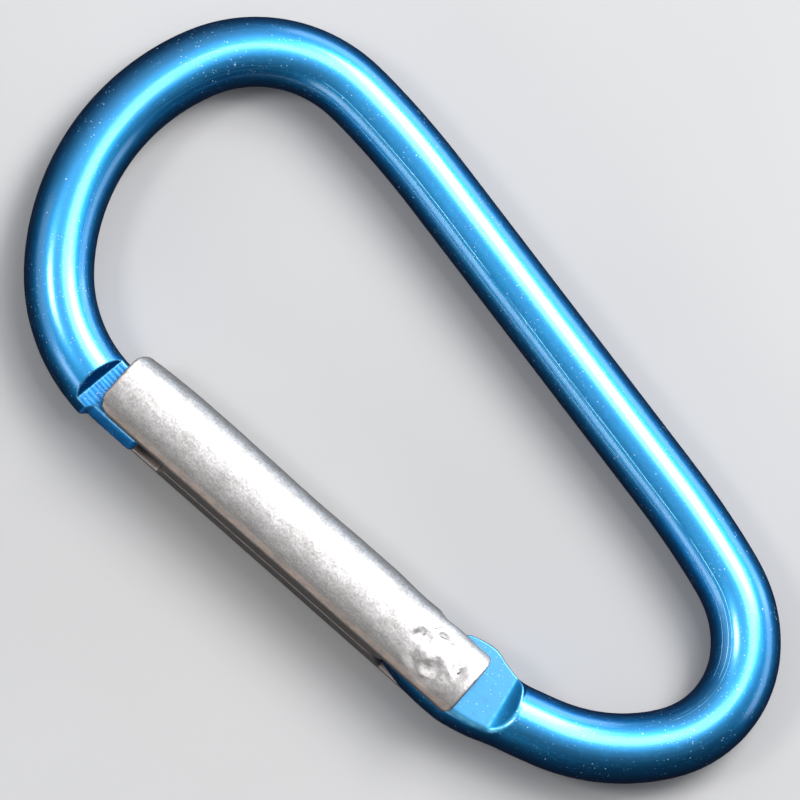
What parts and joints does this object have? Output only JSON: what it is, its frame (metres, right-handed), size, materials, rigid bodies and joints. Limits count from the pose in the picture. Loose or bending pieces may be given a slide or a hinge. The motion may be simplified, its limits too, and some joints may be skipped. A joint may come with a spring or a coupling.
{
  "type": "carabiner keyring",
  "caption": "Small D-shaped snap hook: a bent anodised rod closed by a sprung, riveted gate of folded sheet, for clipping keys.",
  "frame": {"origin": "middle of the ring's outline in its own plane, half way through the rod", "axes": "+X along the straight spine towards the gate's pivot end, +Y from the gate towards the spine, +Z out of the ring's plane"},
  "size_m": [0.06, 0.0306, 0.0052],
  "materials": {
    "anodised_rod": "glossy blue anodised, fine pits and scratches",
    "gate_sheet": "tumbled bare sheet, satin and mottled",
    "rivet": "bare, peened by hammer",
    "spring_wire": "drawn wire",
    "push_pin": "turned"
  },
  "bodies": {
    "frame": {"frame_rod": "anodised_rod"},
    "gate": {"gate_sleeve": "gate_sheet", "pivot_rivet": "rivet", "return_spring": "spring_wire"},
    "pin": {"push_pin": "push_pin"}
  },
  "joints": [
    {"name": "gate_hinge", "type": "hinge", "parent": "frame", "child": "gate", "pos_m": [0.0135, -0.00644, 0], "axis": [0, 0, -1], "range_deg": [0, 26], "stiffness_Nm_per_rad": 0.03, "springref_deg": -57.3},
    {"name": "pin_slide", "type": "slide", "parent": "gate", "child": "pin", "axis": [-0.9803, -0.1977, 0], "range_m": [0, 0.00034], "deforming": ["return_spring"]}
  ],
  "couplings": [
    {"joint": "pin_slide", "follows": "gate_hinge", "m_per_rad": 0.00073}
  ]
}
